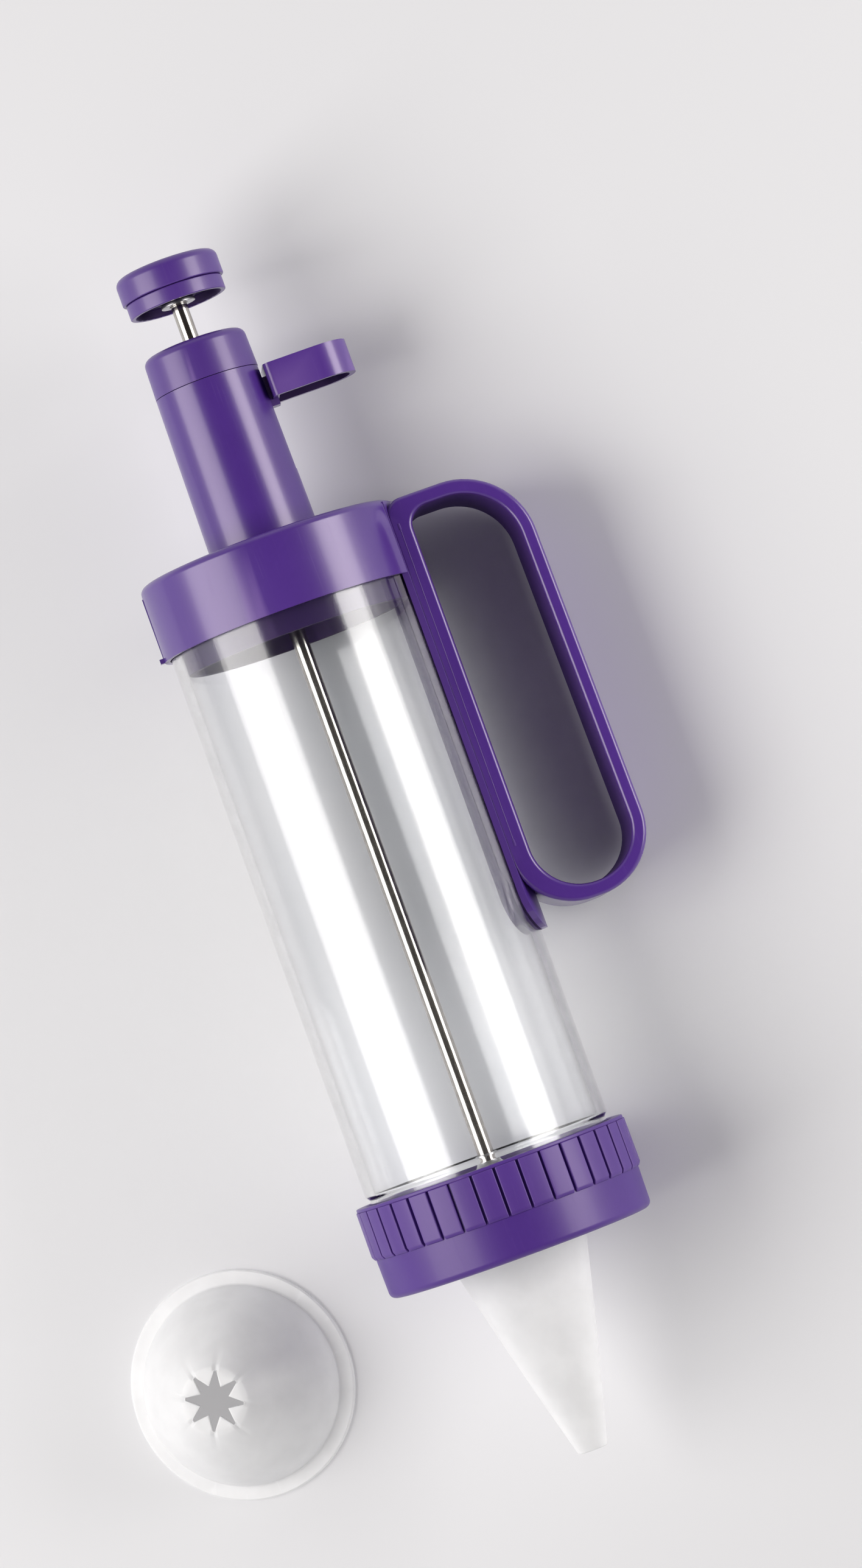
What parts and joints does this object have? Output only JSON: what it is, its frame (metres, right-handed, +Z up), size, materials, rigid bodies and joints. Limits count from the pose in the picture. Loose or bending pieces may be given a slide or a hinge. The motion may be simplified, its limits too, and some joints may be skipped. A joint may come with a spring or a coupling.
{
  "type": "cake decorating syringe",
  "caption": "Cake decorating syringe: clear barrel with finger loop, thumb lever feed, pull-out plunger and screw ring, lying beside a spare star nozzle.",
  "frame": {"origin": "middle of the bounding box's underside, on the table that the tool and the spare nozzle lie on", "axes": "+X along the tool from the knob to the nozzle tip, +Y toward the finger loop, +Z up"},
  "size_m": [0.3116, 0.186, 0.0704],
  "materials": {
    "purple_plastic": "gloss",
    "dark_purple_plastic": "satin",
    "clear_plastic": "clear gloss",
    "white_plastic": "satin",
    "seal_rubber": "matte",
    "polished_rod": "polished",
    "spring_steel": "bright",
    "plated_steel": "plated"
  },
  "bodies": {
    "head": {"head_moulding": "dark_purple_plastic", "handle_loop": "purple_plastic", "neck_cap": "purple_plastic", "return_spring": "spring_steel"},
    "lever": {"thumb_lever": "purple_plastic", "lever_carriage": "dark_purple_plastic", "spring_washer": "plated_steel"},
    "grip": {"grip_plate": "spring_steel"},
    "plunger": {"plunger_rod": "polished_rod", "piston_body": "white_plastic", "piston_seal": "seal_rubber", "piston_foot": "plated_steel", "piston_screw": "plated_steel", "knob_base": "dark_purple_plastic", "knob_cover": "purple_plastic", "knob_washer": "plated_steel", "knob_screw": "plated_steel"},
    "barrel": {"barrel": "clear_plastic"},
    "nozzle": {"nozzle": "white_plastic"},
    "ring": {"locking_ring": "purple_plastic"},
    "spare_nozzle": {"star_nozzle": "white_plastic"}
  },
  "joints": [
    {"name": "plunger_slide", "type": "slide", "parent": "head", "child": "plunger", "axis": [-0.9999, 0, -0.0115], "range_m": [0, 0.137]},
    {"name": "lever_slide", "type": "slide", "parent": "head", "child": "lever", "axis": [0.9999, 0, 0.0115], "range_m": [0, 0.016], "stiffness_N_per_m": 300, "springref_m": -0.008, "deforming": ["return_spring"]},
    {"name": "grip_tilt", "type": "hinge", "parent": "lever", "child": "grip", "pos_m": [-0.11398, 0.01948, 0.03559], "axis": [0.011, -0.313, -0.9497], "range_deg": [0, 5], "stiffness_Nm_per_rad": 0.02, "springref_deg": -2.86},
    {"name": "barrel_release", "type": "slide", "parent": "head", "child": "barrel", "axis": [0.9999, 0, 0.0115], "range_m": [0, 0.175]},
    {"name": "nozzle_release", "type": "slide", "parent": "barrel", "child": "nozzle", "axis": [0.9999, 0, 0.0115], "range_m": [0, 0.00721]},
    {"name": "ring_unscrew", "type": "hinge", "parent": "nozzle", "child": "ring", "pos_m": [0.09274, 0.02764, 0.03529], "axis": [0.9999, 0, 0.0115], "range_deg": [0, 432]},
    {"name": "star_nozzle_lift", "type": "slide", "parent": "head", "child": "spare_nozzle", "axis": [0, 0, 1], "range_m": [0, 0.08]}
  ],
  "couplings": [
    {"joint": "nozzle_release", "follows": "ring_unscrew", "m_per_rad": 0.00095493}
  ]
}
